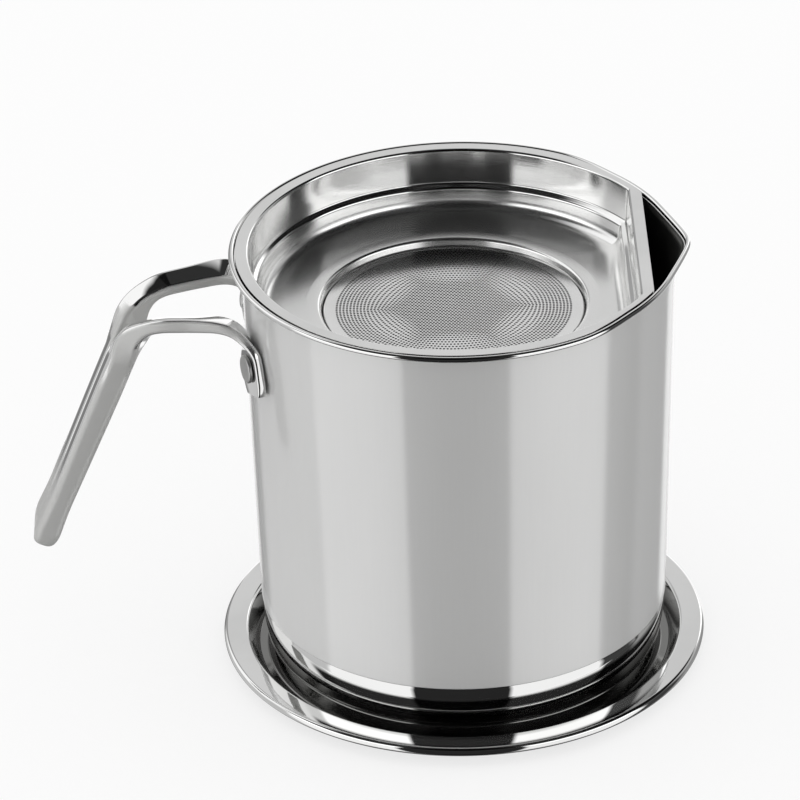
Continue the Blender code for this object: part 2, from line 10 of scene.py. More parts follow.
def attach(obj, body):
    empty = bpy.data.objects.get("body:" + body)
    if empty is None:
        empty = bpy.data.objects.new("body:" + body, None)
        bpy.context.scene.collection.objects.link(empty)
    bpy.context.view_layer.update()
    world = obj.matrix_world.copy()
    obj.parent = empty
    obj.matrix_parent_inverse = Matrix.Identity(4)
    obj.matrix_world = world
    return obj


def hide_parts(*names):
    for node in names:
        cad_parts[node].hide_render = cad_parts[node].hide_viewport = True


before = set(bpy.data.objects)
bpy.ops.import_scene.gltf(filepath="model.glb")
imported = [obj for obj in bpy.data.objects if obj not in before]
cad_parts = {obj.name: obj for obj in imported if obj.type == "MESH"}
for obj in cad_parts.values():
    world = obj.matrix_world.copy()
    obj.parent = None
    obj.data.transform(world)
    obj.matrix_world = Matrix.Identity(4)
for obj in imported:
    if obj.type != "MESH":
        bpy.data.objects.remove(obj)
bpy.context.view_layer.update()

# Drip tray: one disc of thin stainless sheet, pressed into a flat rim with a rolled edge, a deep
# gutter and a low ring on which the pot's foot stands, and then polished to a mirror.
MM = 0.001
SHEET = 0.6 * MM
TRAY_HEIGHT = 7.0 * MM
TRAY_EDGE_DROP = 3.0 * MM
TRAY_RADIUS = 77.4 * MM
TRAY_RIM_INNER = 69.7 * MM
TRAY_WALL_FOOT = 66.3 * MM
SEAT_OUTER = 61.5 * MM
SEAT_INNER = 53.5 * MM
SEAT_SLOPE = 1.6 * MM
SEAT_Z = 5.7 * MM
TRAY_COLOUR = (0.74, 0.74, 0.735)
# Painted shade: a dark steel colour laid over everything inside the flat rim, standing in for the recess's
# shade.
GUTTER_PAINTED_SHADE = (0.2, 0.2, 0.195)
PAINTED_SHADE_EDGE = TRAY_RIM_INNER - 0.6 * MM
SHARP_ANGLE = math.radians(40)
PATCHES = (0.35, 0.7)
SMEAR_SHADE = 0.93


def rounded(corners, steps=6):
    """Profile through (across, height, radius) corners. Each corner turns on a circular arc: its
    centre lies radius away from both legs, and the arc runs between the two points of contact."""
    points = np.array([corner[:2] for corner in corners], float)
    profile = [points[:1]]
    for before, here, after, corner in zip(points, points[1:], points[2:], corners[1:]):
        if corner[2] == 0:
            profile.append(here[None])
            continue
        back = (before - here) / np.linalg.norm(before - here)
        ahead = (after - here) / np.linalg.norm(after - here)
        half = math.acos(np.clip(back @ ahead, -1, 1)) / 2
        middle = (back + ahead) / np.linalg.norm(back + ahead)
        centre = here + middle * corner[2] / math.sin(half)
        sweep = np.linspace(half - math.pi / 2, math.pi / 2 - half, steps + 1)[:, None]
        side = (back - ahead) / np.linalg.norm(back - ahead)
        profile.append(centre - corner[2] * (middle * np.cos(sweep) + side * np.sin(sweep)))
    profile.append(points[-1:])
    return np.concatenate(profile)


def turned(profile, count=288):
    """Rings about Z: a profile point (r, z) becomes (r cos a, r sin a, z) at evenly spaced angles a.
    A point on the axis stays single, as a pole."""
    angle = np.linspace(0, 2 * math.pi, count, endpoint=False)
    rings = []
    for radius, height in profile:
        ring = np.stack([radius * np.cos(angle), radius * np.sin(angle), np.full(count, height)], 1)
        rings.append(ring[:1] if radius == 0 else ring)
    return rings


def skin(name, rings, finish, closed=False, cap=False, marks=None):
    """Mesh over rings of points. Point j and j + 1 of a ring join the same two of the next ring in a
    quad, or in a triangle at a pole. Closed joins the last ring to the first, cap fills both ends.
    Marks give each point a value from 0 to 1 that its material reads."""
    start = np.cumsum([0] + [len(ring) for ring in rings])
    pairs = list(zip(range(len(rings)), range(1, len(rings))))
    if closed:
        pairs.append((len(rings) - 1, 0))
    faces = []
    for low, high in pairs:
        count = max(len(rings[low]), len(rings[high]))
        here = np.arange(count)
        after = (here + 1) % count
        corners = []
        if len(rings[low]) == 1:
            corners = [np.full(count, start[low]), start[high] + after, start[high] + here]
        elif len(rings[high]) == 1:
            corners = [start[low] + here, start[low] + after, np.full(count, start[high])]
        else:
            corners = [start[low] + here, start[low] + after, start[high] + after, start[high] + here]
        faces += np.stack(corners, 1).tolist()
    if cap:
        faces.append(list(range(start[0], start[1])))
        faces.append(list(range(start[-2], start[-1])))
    data = bpy.data.meshes.new(name)
    data.from_pydata(np.concatenate(rings), [], faces)
    if marks is not None:
        data.attributes.new("marks", "FLOAT", "POINT").data.foreach_set("value", np.float32(marks).ravel())
    turn_out = bmesh.new()
    turn_out.from_mesh(data)
    bmesh.ops.recalc_face_normals(turn_out, faces=turn_out.faces)
    turn_out.to_mesh(data)
    turn_out.free()
    data.shade_smooth()
    data.set_sharp_from_angle(angle=SHARP_ANGLE)
    data.materials.append(finish)
    piece = bpy.data.objects.new(name, data)
    bpy.context.scene.collection.objects.link(piece)
    return piece


class Flow:
    """An output socket. Sums and products of flows and numbers add Math nodes beside it."""

    def __init__(self, tree, socket=None):
        self.tree = tree
        self.socket = socket

    def node(self, kind, settings=None, inputs=None, output=0):
        """Any node: its settings are made first, then its sockets get values or links."""
        made = self.tree.nodes.new(kind)
        for key, value in (settings or {}).items():
            if key == "stops":
                made.color_ramp.elements[0].position, made.color_ramp.elements[0].color = value[0]
                made.color_ramp.elements[1].position, made.color_ramp.elements[1].color = value[-1]
                for place, colour in value[1:-1]:
                    made.color_ramp.elements.new(place).color = colour
            else:
                setattr(made, key, value)
        for key, value in (inputs or {}).items():
            if isinstance(value, Flow):
                self.tree.links.new(value.socket, made.inputs[key])
            else:
                made.inputs[key].default_value = value
        return Flow(self.tree, made.outputs[output])

    def math(self, operation, *values):
        return self.node("ShaderNodeMath", {"operation": operation}, dict(enumerate(values)))

    def __add__(self, other):
        return self.math("ADD", self, other)

    def __sub__(self, other):
        return self.math("SUBTRACT", self, other)

    def __mul__(self, other):
        return self.math("MULTIPLY", self, other)

    def __radd__(self, other):
        return self.math("ADD", other, self)

    def __rsub__(self, other):
        return self.math("SUBTRACT", other, self)

    def __rmul__(self, other):
        return self.math("MULTIPLY", other, self)

    def ramp(self, low, high, to_low=0.0, to_high=1.0):
        """A smooth rise from one value to another between two bounds."""
        ends = {"From Min": low, "From Max": high, "To Min": to_low, "To Max": to_high}
        return self.node("ShaderNodeMapRange", {"interpolation_type": "SMOOTHSTEP"}, {"Value": self, **ends})

    def noise(self, place, scale, detail=2.0, stretch=(1, 1, 1)):
        """Fractal noise with a number of cycles to the metre, drawn out along an axis."""
        drawn = self.node("ShaderNodeMapping", {}, {"Vector": place, "Scale": stretch})
        return self.node("ShaderNodeTexNoise", {}, {"Vector": drawn, "Scale": scale, "Detail": detail})


def steel_tree(name):
    """An empty steel material with its shader, the tree's flow and the piece's own coordinates."""
    finish = bpy.data.materials.new(name)
    finish.use_nodes = True
    shader = finish.node_tree.nodes["Principled BSDF"]
    shader.inputs["Metallic"].default_value = 1.0
    flow = Flow(finish.node_tree)
    place = flow.node("ShaderNodeTexCoord", output="Object")
    return finish, shader, flow, place


def blended(flow, share, first, second):
    """Two colours, written or flowing, mixed by a share."""
    inputs = {"Factor": share}
    for socket, colour in ((6, first), (7, second)):
        inputs[socket] = colour if isinstance(colour, Flow) else (*colour, 1)
    return flow.node("ShaderNodeMix", {"data_type": "RGBA"}, inputs, 2)


def feed(flow, shader, socket, value):
    """Link a flow into one of the shader's sockets."""
    flow.tree.links.new(value.socket, shader.inputs[socket])


def marked(flow, place):
    """The value that each point of the mesh was marked with."""
    return flow.node("ShaderNodeAttribute", {"attribute_name": "marks"}, output="Fac")


def polished(name, colour, rough, wave=0.012 * MM, marked_colour=None, marked_rough=0.0, lathe=0.0):
    """Mirror-polished sheet: buffing haze in the roughness, faint smears in the colour, and a very
    shallow unevenness of the pressed sheet that bends what it mirrors. Marked points turn to another
    colour and roughness. Lathe is the depth of fine level lines that polishing on a lathe leaves."""
    finish, shader, flow, place = steel_tree(name)
    smear = flow.noise(place, 38.0, 3.0)
    haze = flow.noise(place, 900.0, 2.0)
    swell = flow.noise(place, 22.0, 1.0)
    tint = blended(flow, smear.ramp(*PATCHES), colour, [part * SMEAR_SHADE for part in colour])
    roughness = rough + smear * (rough * 0.6) + haze * (rough * 0.4)
    if marked_colour or marked_rough:
        mark = marked(flow, place)
        roughness = roughness + mark * marked_rough
        tint = blended(flow, mark, tint, marked_colour or colour)
    feed(flow, shader, "Base Color", tint)
    feed(flow, shader, "Roughness", roughness)
    relief = swell * wave + haze * (0.004 * wave)
    if lathe:
        relief = relief + flow.noise(place, 1.0, 2.0, (60, 60, 2600)) * lathe
    bump = flow.node("ShaderNodeBump", {}, {"Height": relief, "Distance": 1.0})
    feed(flow, shader, "Normal", bump)
    return finish


tray_profile = rounded([
    (0, SHEET, 0),
    (SEAT_INNER - SEAT_SLOPE, SHEET, 1.5 * MM),
    (SEAT_INNER, SEAT_Z, 1.0 * MM),
    (SEAT_OUTER, SEAT_Z, 0.8 * MM),
    (SEAT_OUTER + SEAT_SLOPE, SHEET, 0.9 * MM),
    (TRAY_WALL_FOOT, SHEET, 1.2 * MM),
    (TRAY_RIM_INNER, TRAY_HEIGHT, 1.3 * MM),
    (TRAY_RADIUS, TRAY_HEIGHT, 1.4 * MM),
    (TRAY_RADIUS, TRAY_HEIGHT - TRAY_EDGE_DROP, 1.3 * MM),
    (TRAY_RADIUS - 3 * SHEET, TRAY_HEIGHT - TRAY_EDGE_DROP, 0.3 * MM),
    (TRAY_RADIUS - 3 * SHEET, TRAY_HEIGHT - SHEET, 0.5 * MM),
    (TRAY_RIM_INNER + SHEET / 2, TRAY_HEIGHT - SHEET, 1.2 * MM),
    (TRAY_WALL_FOOT + SHEET / 2, 0, 1.2 * MM),
    (SEAT_OUTER + SEAT_SLOPE - SHEET / 2, 0, 1.0 * MM),
    (SEAT_OUTER - SHEET, SEAT_Z - SHEET, 0.5 * MM),
    (SEAT_INNER + SHEET, SEAT_Z - SHEET, 0.5 * MM),
    (SEAT_INNER - SEAT_SLOPE + SHEET / 2, 0, 1.5 * MM),
    (0, 0, 0)])
tray_rings = turned(tray_profile)
# Inside the flat rim the tray's colour is painted shade, darkened for the recess, and its polish is rougher
# there.
tray_finish = polished("tray_mirror", TRAY_COLOUR, 0.035, marked_colour=GUTTER_PAINTED_SHADE, marked_rough=0.06)
painted_shade_in_gutter = np.array([across < PAINTED_SHADE_EDGE for across, _ in tray_profile], float)
tray_shade_marks = np.concatenate([np.full(len(ring), mark) for ring, mark in zip(tray_rings, painted_shade_in_gutter)])
tray = skin("tray_pressing", tray_rings, tray_finish, marks=tray_shade_marks)
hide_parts("tray")
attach(tray, "tray")

# Pot: deep-drawn stainless shell with a satin wall that tapers to the foot, a mirror-polished band
# stepped in round the foot, and a ledge and rolled bead round the mouth, pinched into a beak.
POT_BASE_Z = 6.0 * MM
RIM_Z = 143.5 * MM
POT_RADIUS = 67.4 * MM
POT_TAPER = 2.5 * MM
WALL_TOP_Z = 128.5 * MM
BAND_TOP_Z = 21.4 * MM
BAND_STEP = 0.3 * MM
BAND_DRAFT = 1.6 * MM
BAND_HEIGHT = 15.1 * MM
FOOT_FILLET = 2.5 * MM
RIM_WIDTH = 4.1 * MM
BEAD = 0.9 * MM
NECK_FILLET = 1.5 * MM
LEDGE_Z = RIM_Z - 1.5 * MM
BEAK_REACH = 4.6 * MM
BEAK_DEPTH = 12.0 * MM
BEAK_ROUNDING = math.radians(3.4)
RIM_NARROWING = 1.9 * MM
RIM_FADE = (math.radians(40), math.radians(60))
POT_COLOUR = (0.74, 0.74, 0.735)
# Painted shade: the inside of the pot gets this dark colour to stand in for the shade within it.
INSIDE_PAINTED_SHADE = (0.16, 0.16, 0.155)
SATIN_ROUGHNESS = 0.6
SATIN_HAZE = 0.32
MIRROR_ROUGHNESS = 0.03
CLOUD_SHADE = 0.96
SHEEN_IOR = 2.1
SHEEN_ROUGHNESS = 0.11


def ease(share):
    """Smooth step: 3 s squared less 2 s cubed, with s held between 0 and 1."""
    share = np.clip(share, 0, 1)
    return share * share * (3 - 2 * share)


def rim_inset(turn):
    """How far the rim draws in at an angle from the beak: full up to one angle, none past another."""
    return RIM_NARROWING * (1 - ease((turn - RIM_FADE[0]) / (RIM_FADE[1] - RIM_FADE[0])))


def with_beak(rings):
    """Push each ring out to the two planes that touch the wall and meet ahead of it: at an angle a from
    the beak the plane lies at R / cos(h - a), where cos h is R over the beak's reach. The push grows
    smoothly up the beak's depth, and the ledge narrows there."""
    half = math.acos(POT_RADIUS / (POT_RADIUS + BEAK_REACH))
    for ring in rings:
        weight = ease((ring[0, 2] - RIM_Z + BEAK_DEPTH) / BEAK_DEPTH)
        if len(ring) == 1 or weight == 0:
            continue
        turn = np.abs(np.arctan2(ring[:, 1], ring[:, 0]))
        radius = np.hypot(ring[:, 0], ring[:, 1])
        push = POT_RADIUS / np.cos(np.maximum(half - np.hypot(turn, BEAK_ROUNDING), 0)) - POT_RADIUS
        on_ledge = np.clip((radius - POT_RADIUS) / (RIM_WIDTH - 2 * BEAD), 0, 1)
        ring[:, :2] *= (1 + (weight * push - rim_inset(turn) * on_ledge) / radius)[:, None]
    return rings


def satin_steel(name, colour, satin_mask, dull_and_shade=None, dull_and_shade_colour=INSIDE_PAINTED_SHADE, dull_rough=0.35,
                stretch=(1500, 1500, 14), sheen=1.0):
    """Polished steel that turns satin where the mask is 1: fine brushing in one direction, with the
    wide sheen of the grain under a faint sharp one of the metal between. Dull and shade is a mask too,
    for steel of another colour that is left rougher: on the handle's brushed parts their own darker
    tone, inside the pot painted shade."""
    finish, shader, flow, place = steel_tree(name)
    satin = satin_mask(flow, place)
    grain = flow.noise(place, 1.0, 3.0, stretch)
    cloud = flow.noise(place, 16.0, 2.0, (1, 1, 0.35))
    swell = flow.noise(place, 20.0, 1.0)
    tint = blended(flow, cloud.ramp(*PATCHES), colour, [part * CLOUD_SHADE for part in colour])
    rough = MIRROR_ROUGHNESS + satin * (SATIN_ROUGHNESS + grain * 0.08 + cloud * 0.05)
    if dull_and_shade:
        shade = dull_and_shade(flow, place)
        tint = blended(flow, shade, tint, dull_and_shade_colour)
        rough = rough + shade * dull_rough
    feed(flow, shader, "Base Color", tint)
    feed(flow, shader, "Roughness", rough)
    feed(flow, shader, "Metallic", 1.0 - satin * SATIN_HAZE)
    feed(flow, shader, "Coat Weight", satin * sheen)
    shader.inputs["Coat IOR"].default_value = SHEEN_IOR
    shader.inputs["Coat Roughness"].default_value = SHEEN_ROUGHNESS
    bump = flow.node("ShaderNodeBump", {}, {"Height": swell + satin * grain * 0.02, "Distance": 0.01 * MM})
    feed(flow, shader, "Normal", bump)
    return finish


def wall_of_pot(flow, place):
    """1 between the polished band and the polished ledge, on the outside."""
    height = flow.node("ShaderNodeSeparateXYZ", {}, {0: place}, 2)
    return height.ramp(BAND_TOP_Z - 0.4 * MM, BAND_TOP_Z) * height.ramp(
        LEDGE_Z - 1.2 * MM, LEDGE_Z - 0.4 * MM, 1.0, 0.0) * (1.0 - marked(flow, place))


BAND_RADIUS = POT_RADIUS - POT_TAPER - BAND_STEP
FOOT_RADIUS = BAND_RADIUS - BAND_DRAFT
BEAD_R = POT_RADIUS + RIM_WIDTH - BEAD
wall_levels = np.linspace(RIM_Z - BEAK_DEPTH, LEDGE_Z - NECK_FILLET, 14)[:-1]
wall_up = [(POT_RADIUS, WALL_TOP_Z, 0)] + [(POT_RADIUS, height, 0) for height in wall_levels]
outside = rounded([
    (0, POT_BASE_Z, 0),
    (FOOT_RADIUS, POT_BASE_Z, FOOT_FILLET),
    *[(BAND_RADIUS - BAND_DRAFT * share ** 2, BAND_TOP_Z - BAND_STEP - BAND_HEIGHT * share, 0)
      for share in np.linspace(0.85, 0.08, 12)],
    (BAND_RADIUS, BAND_TOP_Z - BAND_STEP, 0.1 * MM),
    (POT_RADIUS - POT_TAPER, BAND_TOP_Z, 0.2 * MM),
    *wall_up,
    (POT_RADIUS, LEDGE_Z - SHEET, NECK_FILLET),
    (BEAD_R - BEAD, LEDGE_Z - SHEET, 0)])
turn = np.radians(np.linspace(-150, 160, 28))
bead = np.stack([BEAD_R + BEAD * np.cos(turn), RIM_Z - BEAD + BEAD * np.sin(turn)], 1)
inside = rounded([
    (BEAD_R - BEAD, LEDGE_Z, 0),
    (POT_RADIUS - SHEET, LEDGE_Z, NECK_FILLET + SHEET),
    *[(across - SHEET, height, 0) for across, height, _ in wall_up[::-1]],
    (POT_RADIUS - POT_TAPER - SHEET, BAND_TOP_Z, 0.5 * MM),
    (BAND_RADIUS - SHEET, BAND_TOP_Z - BAND_STEP, 0.5 * MM),
    (FOOT_RADIUS - SHEET, POT_BASE_Z + SHEET, FOOT_FILLET - SHEET),
    (0, POT_BASE_Z + SHEET, 0)])
pot_rings = with_beak(turned(np.concatenate([outside, bead, inside]), 360))
# The marked inside of the shell is painted dark, as painted shade within the pot, and left rougher.
pot_finish = satin_steel("pot_satin", POT_COLOUR, wall_of_pot, marked)
first_inside = len(outside) + len(bead) + 1
pot_marks = np.concatenate([np.full(len(ring), float(index > first_inside))
                            for index, ring in enumerate(pot_rings)])
pot = skin("pot_shell", pot_rings, pot_finish, marks=pot_marks)
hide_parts("pot_body")
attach(pot, "pot")

# Handle: two flat stainless bars laid side by side and welded into one grip, which part at the
# shoulder, bend over towards the pot and end in flattened tabs, one riveted on each side.
GRIP_WIDTH = 20.0 * MM
GRIP_DEPTH = 8.6 * MM
GRIP_WAIST = 7.0 * MM
GRIP_END_DEPTH = 8.4 * MM
GRIP_FLARE = 18.0 * MM
GRIP_TONGUE = 7.0 * MM
GRIP_END = (-134.0 * MM, 0, 43.8 * MM)
GRIP_TOP_Z = 109.5 * MM
BEND = (-99.8 * MM, -11.7 * MM, 125.2 * MM)
LEG_WIDTH = 8.1 * MM
LEG_THICKNESS = 4.3 * MM
LEG_TILT = math.radians(20)
TAB_ANGLE = math.radians(19.7)
TAB_LEAN = math.radians(18)
TAB_WIDTH = 14.0 * MM
TAB_THICKNESS = 2.8 * MM
TAB_TOP_Z = 128.6 * MM
TAB_BELOW_RIVET = 8.6 * MM
RIVET_Z = 115.3 * MM
SEAT_GAP = 0.3 * MM
BRUSHED_TOP_Z = 108.0 * MM
BACK_BRUSHED_TOP_Z = 50.0 * MM
BEND_TRIMS = (3.5 * MM, 10.0 * MM, 12.0 * MM)
OUTER_EDGE_RADII = np.array([2.4, 2.6, 1.7, 1.5, 1.2, 0.9, 0.8]) * MM
INNER_EDGE_RADII = np.array([1.3, 1.3, 1.7, 1.5, 1.2, 0.9, 0.8]) * MM
HANDLE_COLOUR = (0.74, 0.74, 0.735)
GRIP_COLOUR = (0.6, 0.6, 0.59)

rivet_wall = POT_RADIUS - POT_TAPER * (WALL_TOP_Z - RIVET_Z) / (WALL_TOP_Z - BAND_TOP_Z)
tab_middle = rivet_wall + SEAT_GAP + TAB_THICKNESS / 2


def unit(vector):
    """The vector, or each row of an array, at length 1."""
    return vector / np.linalg.norm(vector, axis=-1, keepdims=True)


def bent_path(corners, trims, steps=20):
    """Straight runs joined at each inner corner by the parabola that touches both of them a trim away."""
    path = [corners[:1]]
    share = np.linspace(0, 1, steps)[:, None]
    for before, here, after, trim in zip(corners, corners[1:], corners[2:], trims):
        start = here + unit(before - here) * trim
        finish = here + unit(after - here) * trim
        path.append(start * (1 - share) ** 2 + here * 2 * share * (1 - share) + finish * share ** 2)
    path.append(corners[-1:])
    return np.concatenate(path)


def spaced(path, count):
    """The path again, with evenly spaced points along its length, and their distances from its start."""
    along = np.concatenate([[0], np.cumsum(np.linalg.norm(np.diff(path, axis=0), axis=1))])
    even = np.linspace(0, along[-1], count)
    return np.stack([np.interp(even, along, path[:, axis]) for axis in range(3)], 1), even


def bar_rings(centre, side, normal, width, depth, outer, inner, corner_steps=7):
    """Sections of a flat bar: a rectangle with rounded corners, of one radius on its outer edge and of
    another on the edge that faces its twin."""
    rings = []
    for sign_w, sign_d, first in ((1, 1, 0), (-1, 1, 90), (-1, -1, 180), (1, -1, 270)):
        radius = np.minimum(inner if sign_w > 0 else outer, np.minimum(width, depth) * 0.48)
        for angle in np.radians(np.linspace(first, first + 90, corner_steps)):
            across = sign_w * (width / 2 - radius) + radius * math.cos(angle)
            out = sign_d * (depth / 2 - radius) + radius * math.sin(angle)
            rings.append(centre + side * across[:, None] + normal * out[:, None])
    return np.stack(rings, 1)


def handle_half():
    """One bar from the grip's end to its tab, on the -Y side. Width, depth and direction are set at
    stations and eased between them; the grip's end is rounded off like a tongue. The marks are 1 on
    the brushed edges and on the grip, less so up the grip's outward face."""
    end, bend = np.array(GRIP_END), np.array(BEND)
    upward = unit(np.array([bend[0], 0, bend[2]]) - end)
    fork = end + upward * (GRIP_TOP_Z - end[2]) / upward[2]
    shift = np.array([0, -GRIP_WIDTH / 4, 0])
    radial = np.array([-math.cos(TAB_ANGLE), -math.sin(TAB_ANGLE), 0])
    round_wall = np.array([-math.sin(TAB_ANGLE), math.cos(TAB_ANGLE), 0])
    down = -round_wall * math.sin(TAB_LEAN) - np.array([0, 0, math.cos(TAB_LEAN)])
    rivet = radial * tab_middle + np.array([0, 0, RIVET_Z])
    corner = rivet - down * (TAB_TOP_Z - RIVET_Z) / math.cos(TAB_LEAN)
    tab_end = rivet + down * TAB_BELOW_RIVET
    corners = np.array([end + shift, fork + shift, bend, corner, tab_end])
    path, along = spaced(bent_path(corners, BEND_TRIMS), 260)

    run = unit(corner - bend)
    level = unit(np.array([-run[1], run[0], 0]))
    tilted = level * math.cos(LEG_TILT) - np.array([0, 0, math.sin(LEG_TILT)])
    inward = np.array([0, 1.0, 0])
    half = GRIP_WIDTH / 2
    marks = np.cumsum([0] + [np.linalg.norm(b - a) for a, b in zip(corners, corners[1:])])
    marks *= along[-1] / marks[-1]
    stations = np.array([marks[0], marks[1], marks[2], (marks[2] + marks[3]) / 2, marks[3],
                         marks[3] + 0.45 * (marks[4] - marks[3]), marks[4]])
    widths = np.array([half, half, LEG_WIDTH, LEG_WIDTH, LEG_WIDTH + 2.0 * MM, TAB_WIDTH, TAB_WIDTH])
    between = unit(1.4 * tilted + round_wall)
    sides = np.array([inward, inward, tilted, tilted, between, round_wall, round_wall])
    span = np.clip(np.searchsorted(stations, along, side="right") - 1, 0, len(stations) - 2)
    share = ease((along - stations[span]) / (stations[span + 1] - stations[span]))
    width = widths[span] * (1 - share) + widths[span + 1] * share
    depth = GRIP_WAIST + (GRIP_DEPTH - GRIP_WAIST) * ease(along / marks[1])
    depth += (LEG_THICKNESS - depth) * ease((along - marks[2] + 6.5 * MM) / (13.0 * MM))
    depth += (TAB_THICKNESS - depth) * ease((along - stations[3]) / (stations[5] - stations[3]))
    depth += (GRIP_END_DEPTH - GRIP_WAIST) * (1 - ease(along / GRIP_FLARE))
    side = sides[span] * (1 - share)[:, None] + sides[span + 1] * share[:, None]

    left = 1 - np.clip(along / GRIP_TONGUE, 0, 1)
    rounding = 1 - np.sqrt(1 - left * left * 0.99)
    narrowed = width * 0.32 * rounding
    depth *= 1 - 0.45 * rounding
    last = 1 - np.clip((along[-1] - along) / (TAB_WIDTH * 0.3), 0, 1)
    width = width - narrowed - TAB_WIDTH * 0.6 * (1 - np.sqrt(1 - (last * (1 - 0.2 * last)) ** 2))

    tangent = unit(np.gradient(path, axis=0))
    side = unit(side - tangent * (side * tangent).sum(1)[:, None])
    normal = np.cross(tangent, side)
    path = path + side * (narrowed / 2)[:, None]
    joined = 1 - ease((along - 2.2 * GRIP_TONGUE) / GRIP_TONGUE)
    inner = (1.3 * MM) * (1 - joined) + 0.05 * MM
    outer = np.interp(along, stations, OUTER_EDGE_RADII)
    inner = np.where(along > stations[1], np.interp(along, stations, INNER_EDGE_RADII), inner)
    rings = bar_rings(path, side, normal, width, depth, outer, inner)
    on_edge = ease((np.abs((rings - path[:, None]) * side[:, None]).sum(2) / width[:, None] - 0.44) / 0.05)
    on_back = ease((((rings - path[:, None]) * normal[:, None]).sum(2) / depth[:, None] - 0.42) / 0.07)
    on_grip = ease((BRUSHED_TOP_Z - path[:, 2]) / (8.0 * MM))[:, None]
    on_grip = on_grip * (1 - on_back * ease((path[:, 2] - BACK_BRUSHED_TOP_Z) / (30.0 * MM))[:, None])
    on_tab = ease((along - stations[4]) / (stations[5] - stations[4]))[:, None]
    return rings, np.maximum(on_edge * (1 - on_tab), on_grip)


bar_finish = satin_steel("handle_bright", HANDLE_COLOUR, marked, dull_and_shade=marked, dull_and_shade_colour=GRIP_COLOUR,
                         dull_rough=0.0, stretch=(900, 900, 60), sheen=0.35)
near_bar, brushed = handle_half()
for name, hand in (("handle_bar_front", 1), ("handle_bar_back", -1)):
    rings = near_bar * np.array([1, hand, 1]) - np.array([0, 0.01 * MM * hand, 0])
    bar = skin(name, list(rings), bar_finish, cap=True, marks=brushed)
    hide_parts("handle")
    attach(bar, "pot")

# Rivets: one solid stainless rivet through each tab and the pot's wall, with a low domed head
# outside and a flatter one inside, hammered down and left a little rougher than the sheet.
RIVET_HEAD = 4.5 * MM
RIVET_HEAD_HEIGHT = 1.5 * MM
RIVET_SHANK = 2.0 * MM
RIVET_INNER_HEAD = 3.8 * MM
RIVET_INNER_HEIGHT = 0.8 * MM
RIVET_COLOUR = (0.52, 0.52, 0.515)
head_foot = rivet_wall + 2 * SEAT_GAP + TAB_THICKNESS
inner_foot = rivet_wall - SHEET - SEAT_GAP
rivet_profile = rounded([
    (0, inner_foot - RIVET_INNER_HEIGHT, 0),
    (RIVET_INNER_HEAD, inner_foot - RIVET_INNER_HEIGHT, 0.4 * MM),
    (RIVET_INNER_HEAD, inner_foot, 0.1 * MM),
    (RIVET_SHANK, inner_foot, 0),
    (RIVET_SHANK, head_foot, 0),
    (RIVET_HEAD, head_foot, 0.15 * MM),
    (RIVET_HEAD, head_foot + RIVET_HEAD_HEIGHT * 0.7, 0.5 * MM),
    (RIVET_HEAD * 0.45, head_foot + RIVET_HEAD_HEIGHT * 0.96, 2.0 * MM),
    (0, head_foot + RIVET_HEAD_HEIGHT, 0)])
rivet_finish = polished("rivet_hammered", RIVET_COLOUR, 0.28, 0.05 * MM)
for name, hand in (("rivet_head_front", 1), ("rivet_head_back", -1)):
    outward = Matrix.Rotation(math.pi + hand * TAB_ANGLE, 3, "Z") @ Matrix.Rotation(math.pi / 2, 3, "Y")
    rings = [ring @ np.array(outward).T + (0, 0, RIVET_Z) for ring in turned(rivet_profile, 48)]
    rivet = skin(name, rings, rivet_finish)
    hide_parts("rivet_front" if hand > 0 else "rivet_back")
    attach(rivet, "pot")

# Strainer: a shallow basin drawn from mirror-polished sheet, cut straight on the beak's side, with
# a flat flange, a stepped wall, and a rounded shoulder that drops to a ledge round the middle.
STRAINER_RADIUS = 69.4 * MM
FLANGE_WIDTH = 4.2 * MM
CHORD_INSET = 10.1 * MM
CHORD_CORNER = 7.0 * MM
UPPER_WALL_DEPTH = 12.0 * MM
WALL_DRAFT = 0.6 * MM
LOWER_DRAFT = 0.6 * MM
STEP_WIDTH = 2.4 * MM
STEP_DROP = 1.6 * MM
FLOOR_Z = RIM_Z - 19.5 * MM
BASIN_FILLET = 4.0 * MM
FLOOR_SHIFT = 1.5 * MM
SHOULDER_RADIUS = 45.0 * MM
SHOULDER_WIDTH = 4.0 * MM
SHOULDER_DROP = 2.8 * MM
DISC_RADIUS = 40.7 * MM
LEDGE_INNER = 38.1 * MM
STRAINER_COLOUR = (0.76, 0.76, 0.755)


